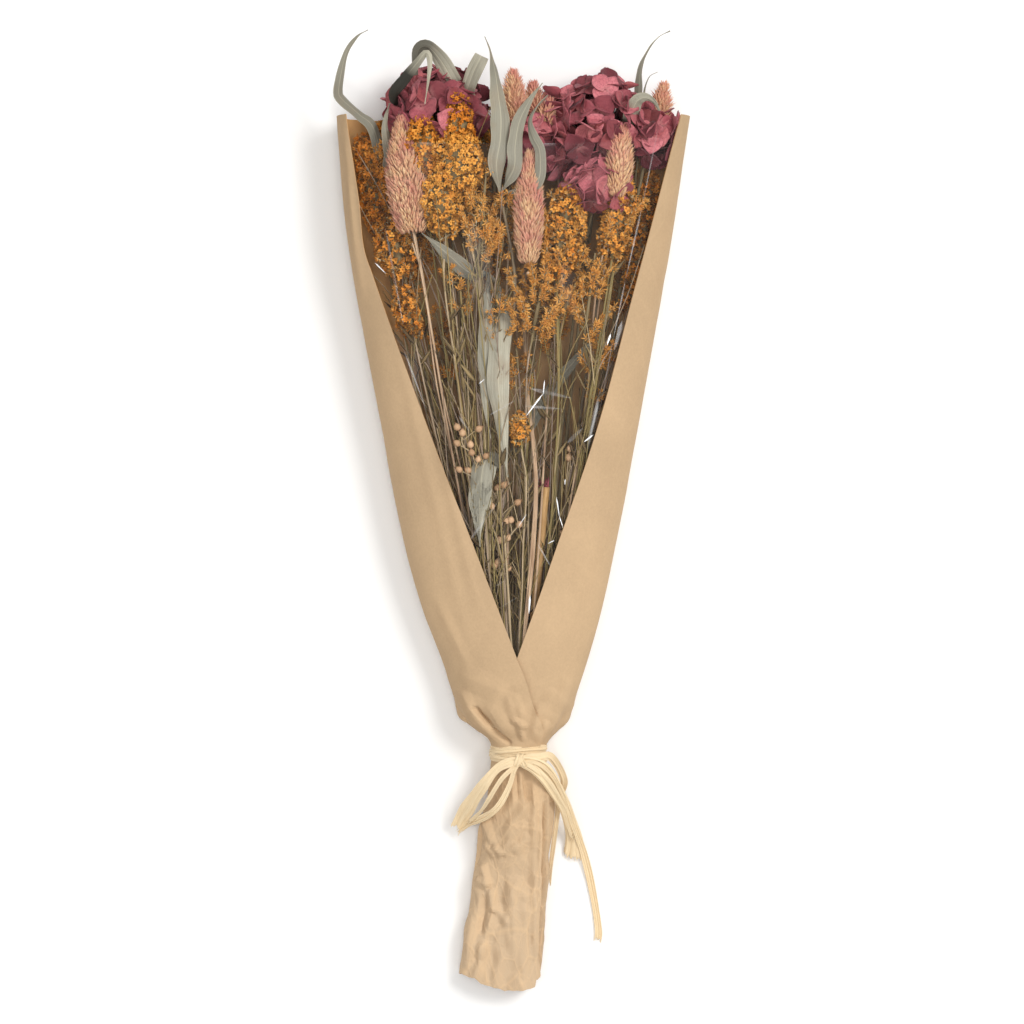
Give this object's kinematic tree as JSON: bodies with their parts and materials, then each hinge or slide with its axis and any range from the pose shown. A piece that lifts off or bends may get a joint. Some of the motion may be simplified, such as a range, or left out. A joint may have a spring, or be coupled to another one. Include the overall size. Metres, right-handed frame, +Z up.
{
  "type": "mixed dried flower bouquet",
  "caption": "Dried bouquet of hydrangea, dyed goldenrod, canary grass and eucalyptus in a kraft paper cone with a clear window, tied with raffia.",
  "frame": {"origin": "on the table, under the middle of the bouquet's bounding box", "axes": "+Y along the bouquet towards the blooms, +Z up from the table towards the window, +X to the right of the window"},
  "size_m": [0.1844, 0.4998, 0.062],
  "materials": {
    "kraft_paper": "matt, creased brown kraft paper",
    "clear_film": "clear, glossy, slightly crinkled",
    "raffia": "dry natural fibre, satin",
    "tan_stalk": "dry bare stalk, matt",
    "canary_grass": "dyed dry seed heads, matt",
    "eucalyptus": "dry grey-green leaf, matt",
    "hydrangea": "dry burgundy sepals, matt",
    "flax": "dry tan bolls, matt",
    "goldenrod": "dyed orange dry florets, matt"
  },
  "bodies": {
    "root": {"paper_sleeve": "kraft_paper", "film_window": "clear_film", "raffia_band": "raffia", "raffia_bow": "raffia", "thick_stalk": "tan_stalk", "canary_grass_left": "canary_grass", "canary_grass_centre": "canary_grass", "canary_grass_right": "canary_grass", "canary_grass_top_left": "canary_grass", "canary_grass_top_middle": "canary_grass", "canary_grass_top_right": "canary_grass", "canary_grass_top_inner": "canary_grass", "eucalyptus_left": "eucalyptus", "eucalyptus_top_left": "eucalyptus", "eucalyptus_centre": "eucalyptus", "eucalyptus_right": "eucalyptus", "eucalyptus_middle": "eucalyptus", "eucalyptus_low": "eucalyptus", "flax_left": "flax", "flax_middle": "flax", "flax_low": "flax", "flax_right": "flax", "hydrangea_left": "hydrangea", "hydrangea_right": "hydrangea", "hydrangea_middle": "hydrangea", "hydrangea_edge": "hydrangea", "hydrangea_low": "hydrangea", "goldenrod_left_edge": "goldenrod", "goldenrod_left_back": "goldenrod", "goldenrod_upper_left": "goldenrod", "goldenrod_upper_middle": "goldenrod", "goldenrod_dome_high": "goldenrod", "goldenrod_dome_low": "goldenrod", "goldenrod_centre_long": "goldenrod", "goldenrod_centre_right": "goldenrod", "goldenrod_left_middle": "goldenrod", "goldenrod_left_low": "goldenrod", "goldenrod_centre_low": "goldenrod", "goldenrod_middle_small": "goldenrod", "goldenrod_middle_big": "goldenrod", "goldenrod_right_high": "goldenrod", "goldenrod_right_middle": "goldenrod", "goldenrod_right_upper": "goldenrod", "goldenrod_right_edge": "goldenrod", "goldenrod_right_low": "goldenrod", "goldenrod_middle_low": "goldenrod", "goldenrod_lowest": "goldenrod", "goldenrod_back_left": "goldenrod", "goldenrod_back_middle": "goldenrod", "goldenrod_back_right": "goldenrod", "goldenrod_back_low": "goldenrod", "goldenrod_left_dark": "goldenrod"}
  },
  "joints": []
}
